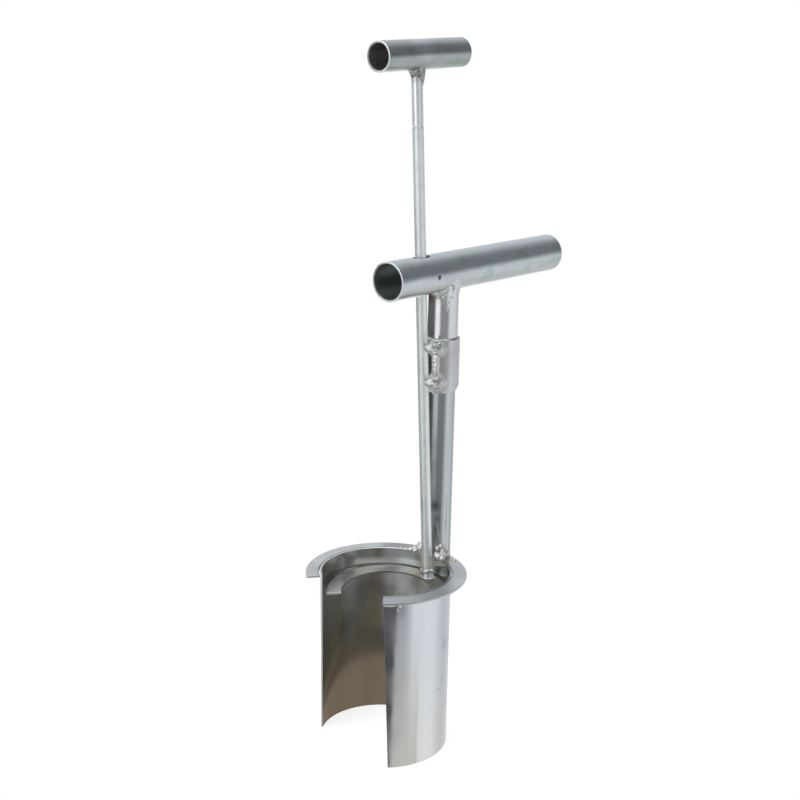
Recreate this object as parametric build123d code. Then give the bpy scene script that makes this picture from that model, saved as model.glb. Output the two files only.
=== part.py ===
from build123d import *
import math
import os

# Seedling transplanter: a slit cutting tube on a post with a cross handle,
# and a plunger (ring plate, rod and T-handle) that pushes the soil plug out.
# Millimetres, +Z up. The origin is on the tube's axis at its cutting edge,
# +X runs along the main handle, away from the slit.

# cutting tube
tube_od = 87.3
tube_wall = 1.2
tube_height = 120.0
# edges of the slit, degrees round the axis from +X
slit_left_top = 145.0
slit_left_bottom = 119.5
slit_right_top = 220.5
slit_right_bottom = 227.0

# flange ring round the tube's top, its outside a little off centre
flange_width = 9.5
flange_thickness = 1.5
flange_shift_y = -0.9

# post and the sleeve that couples its two tubes
post_outset = 0.6
post_y = -2.9
lower_post_od = 19.0
lower_post_length = 121.5
upper_post_od = 20.0
post_wall = 1.2
post_butt_gap = 0.4
sleeve_length = 31.8
sleeve_wall = 1.4
sleeve_clearance = 0.2
sleeve_overlap = 2.5

# main handle: height of its axis above the lower post, lengths along it from the post
handle_od = 25.4
handle_wall = 1.2
handle_height = 73.2
handle_rise = 0.9
handle_near_length = 55.0
handle_far_length = 114.8
vent_diameter = 2.4
vent_from_post = 19.9
rim_fillet = 0.3

# plunger
stroke_down = 102.0
stroke_up = 3.0
plate_width = 9.8
plate_thickness = 1.5
plate_clearance = 0.45
plate_shift_x = 0.9
plate_shift_y = -1.3
plate_depth = 13.9
plate_slope_x = 0.046
plate_slope_y = 0.029
plate_end_left = 138.5
plate_end_right = 224.0
rod_diameter = 7.2
rod_foot_azimuth = -7.8
rod_post_spacing = 23.3
rod_side_clearance = 0.4
slot_outer_extra = 5.6
grip_rise = 136.4
grip_od = 18.5
grip_wall = 1.2
grip_near_length = 34.3
grip_far_length = 42.5
stem_length = 42.8
stud_diameter = 4.0
stud_length = 12.0

# clamp screws and their welded nuts
upper_screw_azimuth = 201.0
lower_screw_azimuth = 203.3
screw_rise = 11.0
screw_diameter = 4.0
screw_hole_clearance = 0.35
screw_thread_clearance = 0.05
screw_tip_gap = 0.75
screw_reach = 27.9
screw_head_diameter = 6.0
screw_head_height = 2.8
screw_slot_width = 1.0
screw_slot_depth = 1.1
nut_across_flats = 6.4
nut_height = 3.6
upper_screw_from_top = 5.0
lower_screw_from_bottom = 4.1

# weld beads
handle_weld_leg = 2.8
handle_weld_drop = 8.0
handle_weld_side_rise = 6.0
foot_weld_leg = 5.0
foot_weld_height = 7.0
rod_weld_leg = 2.4
rod_weld_height = 8.0
stem_weld_leg = 2.8
stem_weld_height = 8.0
sleeve_weld_height = 4.5
nut_weld_leg = 2.6
nut_weld_height = 1.8
nut_weld_sink = 1.2
seam_weld_azimuth = 200.0
seam_weld_radius = 2.1
tack_radius = 2.0
tack_arc = 14.0
tack_azimuths = [-138.5, -70.0, -10.0, 50.0, 110.0]

# values worked out from the sizes above
tube_r = tube_od / 2
bore_r = tube_r - tube_wall
flange_r = tube_r + flange_width
post_x = (tube_r + flange_r) / 2 + post_outset
post_foot = Vector(post_x, post_y, tube_height)
lower_post_r = lower_post_od / 2
upper_post_r = upper_post_od / 2
lower_post_top = tube_height + lower_post_length
upper_post_bottom = lower_post_top + post_butt_gap
sleeve_bore_r = upper_post_r + sleeve_clearance
sleeve_r = sleeve_bore_r + sleeve_wall
sleeve_bottom = lower_post_top - sleeve_overlap
sleeve_top = sleeve_bottom + sleeve_length
handle_r = handle_od / 2
handle_z = lower_post_top + handle_height
rod_r = rod_diameter / 2
grip_r = grip_od / 2
screw_r = screw_diameter / 2
nut_corner_r = nut_across_flats / math.sqrt(3)
plate_r = bore_r - plate_clearance - math.hypot(plate_shift_x, plate_shift_y)
plate_bore_r = plate_r - plate_width
far_out = 3 * flange_r


def polar(radius, degrees):
    return radius * math.cos(math.radians(degrees)), radius * math.sin(math.radians(degrees))


def wedge_face(start, end, z):
    corners = [(0, 0), polar(far_out, start), polar(far_out, end)]
    return Plane.XY.offset(z) * make_face(Polyline(*corners, close=True))


def round_bar(radius, start, end):
    return Pos(0, 0, start) * Cylinder(radius, end - start, align=(Align.CENTER, Align.CENTER, Align.MIN))


def pipe(outer, inner, start, end):
    return round_bar(outer, start, end) - round_bar(inner, start - 1, end + 1)


def turned(points):
    return revolve(Plane.XZ * make_face(Polyline(*points, close=True)), Axis.Z)


def softened(tube):
    rims = tube.edges().filter_by(GeomType.CIRCLE).filter_by(lambda edge: edge.radius > 2 * rim_fillet)
    return fillet(rims, rim_fillet)


# frames: post axis, handle axis (local Z along the handle), plate and rod
post_frame = Location((post_x, post_y, 0))
rise = math.radians(handle_rise)
handle_centre = Vector(post_x, post_y, handle_z)
handle_along = Vector(math.cos(rise), 0, math.sin(rise))
handle_frame = Plane(handle_centre, x_dir=(0, 1, 0), z_dir=handle_along).location
plate_normal = Vector(-plate_slope_x, -plate_slope_y, 1)
plate_centre = Vector(plate_shift_x, plate_shift_y, tube_height - plate_depth)
plate_frame = Plane(plate_centre, x_dir=(1, 0, plate_slope_x), z_dir=plate_normal).location

foot_x, foot_y = polar((plate_r + plate_bore_r) / 2, rod_foot_azimuth)
rod_foot = plate_centre + Vector(foot_x, foot_y, plate_slope_x * foot_x + plate_slope_y * foot_y)
rod_cross_x = post_x - rod_post_spacing
rod_cross = Vector(rod_cross_x, post_y, handle_z - rod_post_spacing * math.tan(rise))
rod_along = (rod_cross - rod_foot).normalized()
rod_lean_x = rod_along.X / rod_along.Z
rod_lean_y = rod_along.Y / rod_along.Z
rod_frame = Plane(rod_cross, x_dir=(1, 0, -rod_lean_x), z_dir=rod_along).location
rod_below = (rod_cross - rod_foot).length
stem_start = grip_rise - stem_length

parts = {}

# cutting tube: rolled sheet, with a slit that widens towards the cutting edge
slit_foot = wedge_face(slit_left_bottom, slit_right_bottom, 0)
slit_head = wedge_face(slit_left_top, slit_right_top, tube_height)
slit = loft([slit_foot, slit_head], ruled=True)
parts["cutting_tube"] = pipe(tube_r, bore_r, 0, tube_height) - slit

# flange ring, flush with the tube's top and open at the same slit
flange_bottom = tube_height - flange_thickness
flange_disc = Pos(0, flange_shift_y, 0) * round_bar(flange_r, flange_bottom, tube_height)
flange_gap = extrude(wedge_face(slit_left_top, slit_right_top, flange_bottom - 1), flange_thickness + 2)
parts["flange_ring"] = flange_disc - round_bar(tube_r, flange_bottom - 1, tube_height + 1) - flange_gap

# main handle with the slot that the rod passes through and a small vent
handle_solid = handle_frame * round_bar(handle_r, -handle_near_length, handle_far_length)
handle_tube = softened(pipe(handle_r, handle_r - handle_wall, -handle_near_length, handle_far_length))
slot_half_height = handle_r + handle_wall
lean_down_x = rod_lean_x * (stroke_down + slot_half_height)
lean_up_x = -rod_lean_x * (stroke_up + slot_half_height)
lean_down_y = rod_lean_y * (stroke_down + slot_half_height)
lean_up_y = -rod_lean_y * (stroke_up + slot_half_height)
slot_margin = rod_r / rod_along.Z + rod_side_clearance
slot_low_x = rod_cross.X + min(lean_down_x, lean_up_x) - slot_margin
slot_high_x = rod_cross.X + max(lean_down_x, lean_up_x, slot_outer_extra) + slot_margin
slot_low_y = rod_cross.Y + min(lean_down_y, lean_up_y) - slot_margin
slot_high_y = rod_cross.Y + max(lean_down_y, lean_up_y) + slot_margin
slot_centre = Pos((slot_low_x + slot_high_x) / 2, (slot_low_y + slot_high_y) / 2, rod_cross.Z)
slot_shape = RectangleRounded(slot_high_x - slot_low_x, slot_high_y - slot_low_y, rod_r)
rod_slot = slot_centre * extrude(slot_shape, 2 * slot_half_height, both=True)
vent_height = handle_z - vent_from_post * math.tan(rise)
vent_centre = Vector(post_x - vent_from_post, post_y, vent_height)
vent_frame = Plane(vent_centre, x_dir=(1, 0, 0), z_dir=(0, -1, 0)).location
vent = vent_frame * round_bar(vent_diameter / 2, handle_r - 2 * handle_wall, handle_r + handle_wall)
parts["main_handle"] = handle_frame * handle_tube - rod_slot - vent

# post: lower tube on the flange, upper tube coped to the handle, sleeve between
lower_bore_r = lower_post_r - post_wall
parts["lower_post"] = post_frame * pipe(lower_post_r, lower_bore_r, tube_height, lower_post_top)
upper_blank = post_frame * pipe(upper_post_r, upper_post_r - post_wall, upper_post_bottom, handle_z)
upper_coped = upper_blank - handle_solid
parts["upper_post"] = upper_coped.solids().sort_by(Axis.Z)[0]
sleeve_tube = post_frame * pipe(sleeve_r, sleeve_bore_r, sleeve_bottom, sleeve_top)
sleeve_solid = post_frame * round_bar(sleeve_r, sleeve_bottom - 1, sleeve_top + 1)

# clamp screws: local Z points out along the screw from the post's axis
screw_base = sleeve_r * math.tan(math.radians(screw_rise))
upper_screw_height = sleeve_top - upper_screw_from_top
lower_screw_height = sleeve_bottom + lower_screw_from_bottom
screw_places = {
    "upper": (upper_screw_height, upper_screw_azimuth),
    "lower": (lower_screw_height, lower_screw_azimuth),
}
head_start = screw_reach - screw_head_height
tip_start = (upper_post_r + screw_tip_gap) / math.cos(math.radians(screw_rise))
nut_end = sleeve_r + nut_height
weld_band = post_frame * round_bar(2 * sleeve_r, sleeve_bottom + rim_fillet, sleeve_top - rim_fillet)
sleeve_holes = []
for label, (height, azimuth) in screw_places.items():
    out_x, out_y = polar(math.cos(math.radians(screw_rise)), azimuth)
    screw_along = Vector(out_x, out_y, math.sin(math.radians(screw_rise)))
    screw_frame = Plane((post_x, post_y, height - screw_base), z_dir=screw_along).location
    screw_hole = screw_frame * round_bar(screw_r + screw_hole_clearance, 0, 2 * sleeve_r)
    sleeve_holes.append(screw_hole)
    shank = round_bar(screw_r, tip_start, head_start)
    head = round_bar(screw_head_diameter / 2, head_start, screw_reach)
    head = fillet(head.edges().filter_by(GeomType.CIRCLE).sort_by(Axis.Z)[-1], rim_fillet)
    slot_box = Box(2 * screw_head_diameter, screw_slot_width, 2 * screw_slot_depth)
    head_slot = Pos(0, 0, screw_reach) * slot_box
    parts[f"{label}_clamp_screw"] = screw_frame * (shank + head - head_slot)
    nut_start = sleeve_bore_r
    nut_blank = Pos(0, 0, nut_start) * extrude(RegularPolygon(nut_corner_r, 6), nut_end - nut_start)
    nut_bore = round_bar(screw_r + screw_thread_clearance, 0, 2 * nut_end)
    nut_solid = screw_frame * nut_blank - sleeve_solid
    parts[f"{label}_clamp_nut"] = nut_solid - screw_frame * nut_bore
    weld_r = nut_corner_r + nut_weld_leg
    weld_cone = turned([
        (screw_r, sleeve_r / 2),
        (weld_r, sleeve_r / 2),
        (weld_r, sleeve_r - nut_weld_sink),
        (nut_corner_r - nut_weld_leg / 4, sleeve_r + nut_weld_height),
        (screw_r, sleeve_r + nut_weld_height),
    ])
    nut_weld = (screw_frame * weld_cone & weld_band) - sleeve_solid - nut_solid - screw_hole
    parts[f"{label}_nut_weld"] = nut_weld.solids().sort_by(SortBy.VOLUME)[-1]
parts["coupling_sleeve"] = sleeve_tube - sleeve_holes

# sleeve welds: fillet under the sleeve, and the bead that runs between the nuts
sleeve_weld = turned([
    (lower_post_r, sleeve_bottom - sleeve_weld_height),
    (sleeve_r, sleeve_bottom),
    (lower_post_r, sleeve_bottom),
])
parts["sleeve_weld"] = post_frame * sleeve_weld
seam_x, seam_y = polar(sleeve_r, seam_weld_azimuth)
seam_margin = nut_corner_r + nut_weld_leg + seam_weld_radius / 2
seam_low = lower_screw_height + seam_margin
seam_high = upper_screw_height - seam_margin
seam_bead = post_frame * (Pos(seam_x, seam_y, 0) * round_bar(seam_weld_radius, seam_low, seam_high))
parts["sleeve_seam_weld"] = seam_bead - sleeve_solid

# weld between the handle and the upper post
handle_weld_r = upper_post_r + handle_weld_leg
handle_weld_low = handle_z - handle_r - handle_weld_drop
handle_weld_high = handle_z - handle_r + handle_weld_side_rise
handle_weld = turned([
    (upper_post_r, handle_weld_low),
    (handle_weld_r, handle_z - handle_r + handle_weld_leg),
    (handle_weld_r, handle_weld_high),
    (upper_post_r, handle_weld_high),
])
handle_weld = post_frame * handle_weld - handle_solid
parts["handle_weld"] = handle_weld.solids().sort_by(Axis.Z)[0]

# plunger: ring plate, rod trimmed to the plate, screwed-on stem and grip tube
plate_gap = wedge_face(plate_end_left, plate_end_right, -2 * plate_thickness)
plate_gap = extrude(plate_gap, 4 * plate_thickness)
plate_ring = pipe(plate_r, plate_bore_r, -plate_thickness, 0) - plate_gap
parts["ejector_plate"] = plate_frame * plate_ring
below_plate = plate_frame * round_bar(far_out, -far_out, 0)
stud_hole = round_bar(stud_diameter / 2, stem_start - stud_length, stem_start + 1)
rod_blank = round_bar(rod_r, -rod_below - 2 * rod_diameter, stem_start) - stud_hole
parts["ejector_rod"] = rod_frame * rod_blank - below_plate
grip_frame = rod_frame * Pos(0, 0, grip_rise) * Rot(0, 90, 0)
grip_solid = grip_frame * round_bar(grip_r, -grip_near_length, grip_far_length)
grip_tube = softened(pipe(grip_r, grip_r - grip_wall, -grip_near_length, grip_far_length))
parts["t_handle"] = grip_frame * grip_tube
stud = round_bar(stud_diameter / 2, stem_start - stud_length, grip_rise)
stem_blank = round_bar(rod_r, stem_start, grip_rise) + stud
stem_coped = rod_frame * stem_blank - grip_solid
parts["t_handle_stem"] = stem_coped.solids().sort_by(Axis.Z)[0]

# weld at the rod's foot, kept to the plate's width
rod_weld = turned([
    (rod_r, -rod_below + rod_weld_height),
    (rod_r + rod_weld_leg, -rod_below),
    (rod_r + rod_weld_leg, -rod_below - rod_weld_leg),
    (rod_r, -rod_below - rod_weld_leg),
])
plate_column = plate_frame * pipe(plate_r, plate_bore_r, 0, 2 * rod_weld_height)
parts["rod_weld"] = rod_frame * rod_weld & plate_column

# weld between the stem and the grip tube
stem_weld = turned([
    (rod_r, grip_rise - grip_r - stem_weld_height),
    (rod_r + stem_weld_leg, grip_rise - grip_r),
    (rod_r + stem_weld_leg, grip_rise - grip_r / 2),
    (rod_r, grip_rise - grip_r / 2),
])
stem_weld = rod_frame * stem_weld - grip_solid
parts["stem_weld"] = stem_weld.solids().sort_by(Axis.Z)[0]

# weld at the post's foot: on the flange and the tube's edge, clear of the rod's path
foot_weld = turned([
    (lower_post_r, tube_height),
    (lower_post_r + foot_weld_leg, tube_height),
    (lower_post_r, tube_height + foot_weld_height),
])
weld_ceiling = tube_height + 2 * foot_weld_height
flange_column = Pos(0, flange_shift_y, 0) * round_bar(flange_r, tube_height, weld_ceiling)
flange_column = flange_column - round_bar(bore_r, tube_height - 1, weld_ceiling + 1)
path_point = rod_foot + rod_along * ((tube_height - stroke_up - rod_foot.Z) / rod_along.Z)
path_r = slot_margin + foot_weld_height * abs(rod_lean_x)
rod_path = Pos(path_point.X, path_point.Y, 0) * round_bar(path_r, tube_height - 1, weld_ceiling)
parts["post_foot_weld"] = (post_frame * foot_weld & flange_column) - rod_path

# tacks in the corner under the flange
tack_profile = Pos(tube_r, flange_bottom) * Circle(tack_radius)
tack_keep = pipe(2 * tube_r, tube_r, flange_bottom - 2 * tack_radius, flange_bottom)
tack_round = revolve(Plane.XZ * tack_profile, Axis.Z, revolution_arc=tack_arc) & tack_keep
tacks = [Rot(0, 0, azimuth) * tack_round for azimuth in tack_azimuths]
parts["flange_tack_welds"] = Compound(children=tacks)

os.makedirs("parts", exist_ok=True)
for name, shape in parts.items():
    shape.label = name
    export_step(shape, f"parts/{name}.step")
    print(name, len(shape.solids()), round(shape.volume, 1))
print("rod lean", round(rod_lean_x, 4), round(rod_lean_y, 4))
print("grip", grip_frame.position, "rod foot", rod_foot)
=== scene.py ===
from collections import namedtuple
import bmesh
import bpy
import numpy as np
from mathutils import Matrix
from numpy import arange, array, clip, concatenate, cos, linspace, pi, radians, sin, sqrt, stack, tile


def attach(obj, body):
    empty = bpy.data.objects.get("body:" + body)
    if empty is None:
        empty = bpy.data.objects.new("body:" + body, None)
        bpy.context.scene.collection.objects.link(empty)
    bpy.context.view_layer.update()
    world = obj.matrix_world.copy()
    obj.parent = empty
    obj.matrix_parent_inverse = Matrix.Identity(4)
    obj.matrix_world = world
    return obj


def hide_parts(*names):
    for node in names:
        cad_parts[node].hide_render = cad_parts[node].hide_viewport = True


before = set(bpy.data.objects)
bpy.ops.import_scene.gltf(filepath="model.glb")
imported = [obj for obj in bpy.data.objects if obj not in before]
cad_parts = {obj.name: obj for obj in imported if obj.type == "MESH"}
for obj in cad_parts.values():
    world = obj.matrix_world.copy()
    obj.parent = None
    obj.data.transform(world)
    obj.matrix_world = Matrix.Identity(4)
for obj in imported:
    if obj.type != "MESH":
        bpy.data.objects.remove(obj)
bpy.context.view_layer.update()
mm = 0.001
print("frame loaded:", len(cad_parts), "nodes")


# sRGB hex to linear: c / 12.92 below 0.04045, else ((c + 0.055) / 1.055) ^ 2.4
def tone(text):
    c = array([int(text[i:i + 2], 16) for i in (1, 3, 5)]) / 255
    return (*np.where(c <= 0.04045, c / 12.92, ((c + 0.055) / 1.055) ** 2.4).tolist(), 1.0)


# the node tree of a material or world, switched on and emptied
def emptyTree(owner):
    owner.use_nodes = True
    owner.node_tree.nodes.clear()
    return owner.node_tree


# adds one node: settings by attribute, inputs by socket name or number, each a value or a link
def add(tree, kind, inputs=None, **settings):
    made = tree.nodes.new("ShaderNode" + kind)
    for key, value in settings.items():
        setattr(made, key, value)
    for key, value in (inputs or {}).items():
        if isinstance(value, bpy.types.NodeSocket):
            tree.links.new(value, made.inputs[key])
        else:
            made.inputs[key].default_value = value
    return made


# a new node's first output
def socket(tree, kind, inputs=None, **settings):
    return add(tree, kind, inputs, **settings).outputs[0]


# the helpers below start from a socket and add to the tree it is in
def maths(operation, *values, **settings):
    return socket(values[0].id_data, "Math", dict(enumerate(values)), operation=operation, **settings)


def vectors(operation, *values, output=0):
    made = add(values[0].id_data, "VectorMath", dict(enumerate(values)), operation=operation)
    return made.outputs[output]


# a value carried from between the two ends to between low and high, and held there
def ranged(value, ends, low=0.0, high=1.0, kind="LINEAR"):
    inputs = {"Value": value, "From Min": ends[0], "From Max": ends[1], "To Min": low, "To Max": high}
    return socket(value.id_data, "MapRange", inputs, interpolation_type=kind)


# one colour turning into another by an amount
def blend(amount, start, end):
    return add(amount.id_data, "Mix", {0: amount, 6: start, 7: end}, data_type="RGBA").outputs[2]


def noise(place, sizeMm, detail, rough=0.5):
    inputs = {"Vector": place, "Scale": 1000 / sizeMm, "Detail": detail, "Roughness": rough}
    return socket(place.id_data, "TexNoise", inputs)


# the metal itself, with its colour, polish and relief
def metal(tree, base, polish, bump):
    inputs = {"Base Color": base, "Metallic": 1.0, "Roughness": polish, "Normal": bump}
    add(tree, "OutputMaterial", {"Surface": socket(tree, "BsdfPrincipled", inputs)})


# a patch of colour (heat colours and smudges, and at some places painted shade or painted light): centre in
# mm, full within, gone beyond, colour, strength, how much each axis counts for the distance, and how much it
# dulls the polish
mark = namedtuple("mark", "centre near far colour strength counts dull", defaults=((1, 1, 1), 0.0))

# stainless steel, drawn or rolled and then brushed: a grey mirror blurred along fine lines, a little uneven.
# rough = smooth and dull ends of its polish, stretch = grain direction, lineMm = spacing of the lines,
# clouds = two hues of handling marks and their strength, waves = slow unevenness in mm
steelLook = {"broad": 6, "cloudMm": 17, "swayMm": 24, "speckMm": 1.3, "speck": "#77767A", "speckShow": 0.2,
             "shadeEnds": (0.32, 0.66), "cloudEnds": ((0.50, 0.34), (0.52, 0.68)), "speckEnds": (0.73, 0.80),
             "lineEnds": (0.3, 0.7), "wornEnds": (0.35, 0.65), "worn": (-0.04, 0.05), "ragged": 0.9,
             "speckRise": 0.08, "slowBump": 0.5, "fineBump": 0.25, "fineMm": 0.012}


def steelFinish(name, colour, rough, stretch, lineMm, clouds, waves, marks=()):
    v = steelLook
    material = bpy.data.materials.new(name)
    tree = emptyTree(material)
    place = add(tree, "TexCoord").outputs["Object"]
    along = socket(tree, "Mapping", {"Vector": place, "Scale": stretch})
    lines = noise(along, lineMm, detail=4.0, rough=0.62)
    broad = noise(along, lineMm * v["broad"], detail=2.0)
    cloud = noise(place, v["cloudMm"], detail=3.0, rough=0.55)
    sway = noise(place, v["swayMm"], detail=1.0)
    specks = noise(place, v["speckMm"], detail=2.0)
    base = blend(ranged(broad, v["shadeEnds"]), tone(colour[1]), tone(colour[0]))
    for hue, ends in zip(clouds[:2], v["cloudEnds"]):
        base = blend(ranged(cloud, ends, high=clouds[2]), base, tone(hue))
    base = blend(ranged(specks, v["speckEnds"], high=v["speckShow"]), base, tone(v["speck"]))
    worn = ranged(cloud, v["wornEnds"], *v["worn"])
    polish = maths("ADD", ranged(lines, v["lineEnds"], *rough), worn, use_clamp=True)
    for m in [mark(*values) for values in marks]:
        gap = vectors("SUBTRACT", place, tuple(array(m.centre) * mm))
        gap = vectors("LENGTH", vectors("MULTIPLY", gap, m.counts), output="Value")
        ragged = (m.far - m.near) * v["ragged"]
        gap = maths("MULTIPLY_ADD", cloud, ragged * mm, gap)
        ends = (m.near + ragged / 2) * mm, (m.far + ragged / 2) * mm
        amount = ranged(gap, ends, m.strength, 0.0, "SMOOTHSTEP")
        base = blend(amount, base, tone(m.colour))
        if m.dull:
            polish = maths("MULTIPLY_ADD", amount, m.dull, polish)
    relief = maths("MULTIPLY_ADD", specks, v["speckRise"], lines)
    slow = socket(tree, "Bump", {"Strength": v["slowBump"], "Distance": waves * mm, "Height": sway})
    fine = {"Strength": v["fineBump"], "Distance": v["fineMm"] * mm, "Height": relief, "Normal": slow}
    metal(tree, base, polish, socket(tree, "Bump", fine))
    return material


# weld metal: silver that froze in ripples, with two oxides in its hollows. colour = silver and the oxides,
# crustMm = size of its crust, deep = height of the crust in mm, rough = bright and dull ends of its polish
weldLook = {"oxideMm": 4.5, "hollowEnds": (0.30, 0.48), "oxideEnds": (0.42, 0.66), "polishEnds": (0.3, 0.7),
            "grainShare": 0.5, "grainRise": 0.35, "bump": 0.5}


def weldFinish(name, colour, crustMm, deep, rough):
    v = weldLook
    material = bpy.data.materials.new(name)
    tree = emptyTree(material)
    place = add(tree, "TexCoord").outputs["Object"]
    crust = noise(place, crustMm, detail=4.0, rough=0.55)
    oxide = noise(place, v["oxideMm"], detail=2.0)
    grains = socket(tree, "TexVoronoi", {"Vector": place, "Scale": 1000 / (crustMm * v["grainShare"])})
    stain = blend(ranged(oxide, v["oxideEnds"]), tone(colour[2]), tone(colour[1]))
    base = blend(ranged(crust, v["hollowEnds"]), stain, tone(colour[0]))
    polish = ranged(crust, v["polishEnds"], rough[1], rough[0])
    relief = maths("MULTIPLY_ADD", grains, v["grainRise"], crust)
    bump = socket(tree, "Bump", {"Strength": v["bump"], "Distance": deep * mm, "Height": relief})
    metal(tree, base, polish, bump)
    return material


# finishes, each with its tones, polish, grain, line spacing, clouds, waves and marks. Grain runs along Z,
# along Z for sheet, along X, or nowhere
upright, rolled, level, even = (1, 1, 0.03), (1, 1, 0.02), (0.03, 1, 1), (1, 1, 1)
# the dark grey is real soot, stains and seams on some marks, and painted shade on others
straw, brown, sootAndShade = "#C9AE7C", "#8A6B4A", "#5E5E60"
greyed, silvered = ("#B0BAB6", "#BAB5BE", 0.3), ("#C6CCCC", "#CCC9CE", 0.25)
# painted shade: a dark band along the top edge of the tube's wall across the front, in the gap under the
# flange's inner edge
rimShadeLine = (4, -42, 120.4), 44, 54, sootAndShade, 0.7, (1, 1, 28)
tubeSteel = steelFinish(
    "rolled_stainless_sheet", ("#D3D5D8", "#CDCFD2"), (0.10, 0.14), rolled, 1.6, silvered, 0.3,
    # painted shade: the first two marks darken the tube under the flange's end beside the slit
    [((-26, -36, 111), 2, 8, sootAndShade, 0.3), ((-31, -31, 118), 1.5, 4.5, sootAndShade, 0.7, (0.6, 0.6, 2)),
     ((6, -43.2, 47), 0.2, 1.1, sootAndShade, 0.35, (0.4, 0.4, 1)), rimShadeLine,
     ((14, -41.3, 76), 1, 7, "#A9B0AE", 0.5), ((12, -42, 52), 1, 6, "#B9BCC2", 0.4)])
boreSteel = steelFinish(
    "rolled_sheet_inside_dull", ("#B7B8B2", "#B0B1AB"), (0.16, 0.20), rolled, 1.6,
    ("#A8AAA2", "#B0ABA2", 0.3), 0.04,
    # painted light: the inside is paler within 40 mm of its top and in patches on the far wall, one of them
    # bluish
    [((0, 0, 120), 40, 64, "#F0F2EF", 0.9, (0, 0, 1)), ((18, 38, 60), 12, 24, "#AAB6BE", 0.85),
     ((20, 37, 84), 8, 15, "#E4F0FA", 0.9), ((-25, 38, 60), 8, 30, "#E8F2F8", 0.9, (1, 1, 0.6)),
     ((-30, 30, 84), 22, 44, "#DEE1DC", 0.9, (1, 1, 0.8), 0.24),
     ((26, 33, 84), 14, 32, "#E6EAE6", 0.6, even, 0.065),
     # painted shade: the dark marks from here darken patches of the inside wall and, with the rim line, its
     # top edge
     ((-14.5, 39.9, 110), 9, 15, sootAndShade, 0.6, (1, 1, 1.4)), ((-1.5, 42.4, 113), 2, 6.5, sootAndShade, 0.5),
     ((9.2, 41.4, 113), 2, 7, sootAndShade, 0.65), ((39, -16, 113), 6, 14, sootAndShade, 0.25),
     ((33, 26.5, 88), 2, 8, sootAndShade, 0.2), rimShadeLine])
flangeSteel = steelFinish(
    "cut_stainless_plate", ("#CED0D0", "#BEC0C0"), (0.30, 0.38), even, 3.0, greyed, 0.25,
    [((-30, -42, 120), 16, 44, "#A8ABAC", 0.75), ((40, 22, 120), 6, 20, "#9C9FA0", 1.0),
     # painted shade: the dark ring on this line, along the flange's inner edge at the tube's wall
     ((34, -36, 120), 6, 18, "#B0B6B6", 0.6), ((0, 0, 120), 43.9, 45.0, sootAndShade, 0.7, (1, 1, 0)),
     ((44, 12, 120), 4, 14, straw, 0.3), ((44, -16, 120), 4, 14, straw, 0.2)])
plateSteel = steelFinish(
    "cut_stainless_plate_warm", ("#C2C1BB", "#B2B1AA"), (0.34, 0.42), even, 3.0, greyed, 0.25,
    # painted shade: the plate darker within 22 mm of the rod's foot, deep inside the tube
    [((34, -4, 107), 22, 40, "#777672", 0.85), ((36, -6, 107), 5, 15, straw, 0.3),
     ((36, -6, 107), 3, 8, brown, 0.2)])
postSteel = steelFinish(
    "drawn_stainless_tube_upright", ("#BDC1C1", "#AFB3B3"), (0.14, 0.20), upright, 1.1, greyed, 0.25,
    [((41, -7, 157), 0.5, 5, sootAndShade, 0.7), ((41.5, -8.5, 148), 0.5, 4, sootAndShade, 0.4),
     ((47, -12.2, 148), 0.05, 0.55, sootAndShade, 0.6, (1, 1, 0.022)), ((49, -3, 122), 9, 15, straw, 0.08)])
sleeveSteel = steelFinish(
    "turned_stainless_tube", ("#CCCDCE", "#BDBEBF"), (0.26, 0.34), upright, 1.4, greyed, 0.2,
    [((39, -7, 265), 5, 12, straw, 0.10), ((39, -7, 250), 5, 12, straw, 0.06),
     # painted shade: a dark strip down the sleeve's left side beside the bead, a painted dark reflection
     ((37.6, -0.9, 254), 2.6, 4.6, sootAndShade, 0.95, (1, 1, 0.3))])
polishedPost = steelFinish(
    "polished_stainless_tube", ("#D2D2D2", "#CACACA"), (0.12, 0.17), upright, 1.0, silvered, 0.15,
    [((39.3, -5, 301), 2, 9, straw, 0.6), ((40, 2, 303), 3, 10, brown, 0.6)])
gripSteel = steelFinish(
    "drawn_stainless_tube_level", ("#C6CDCF", "#B8BFC1"), (0.18, 0.26), level, 1.2,
    ("#9DB1AB", "#B8BBC0", 0.55), 0.9,
    [((46, -10, 303), 4, 12, "#A39C9A", 0.3), ((29.1, -15.6, 314.4), 1.3, 2.6, sootAndShade, 0.7)])
smallGripSteel = steelFinish(
    "drawn_stainless_tube_small", ("#B2B8B8", "#A3A9AA"), (0.20, 0.28), level, 1.2,
    ("#8A9D96", "#ABAEB4", 0.6), 0.7,
    # painted shade: the first mark darkens the grip's underside where the stem meets it; the second makes the
    # top paler and lilac
    [((16, -1, 442), 4, 10, "#838482", 0.45), ((18, -5, 457), 5, 14, "#CBC9D2", 0.6)])
gripBore = steelFinish("drawn_tube_bore_scaled", ("#9AA3A1", "#8A9391"), (0.48, 0.58), level, 1.2,
                       ("#84908E", "#918D8D", 0.4), 0.1)
smallBore = steelFinish("drawn_tube_bore_small", ("#BCBEBD", "#AEB0AF"), (0.42, 0.52), level, 1.2,
                        ("#C0C8C6", "#C8C4C4", 0.4), 0.1)
sawnEnd = steelFinish("deburred_tube_end", ("#F2F2F2", "#E8E8E8"), (0.46, 0.56), even, 0.7, silvered, 0.02,
                      # painted shade: the ends darker on their far side, towards +y
                      [((0, 12, 0), 6, 13, sootAndShade, 0.6, (0, 1, 0))])
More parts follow.
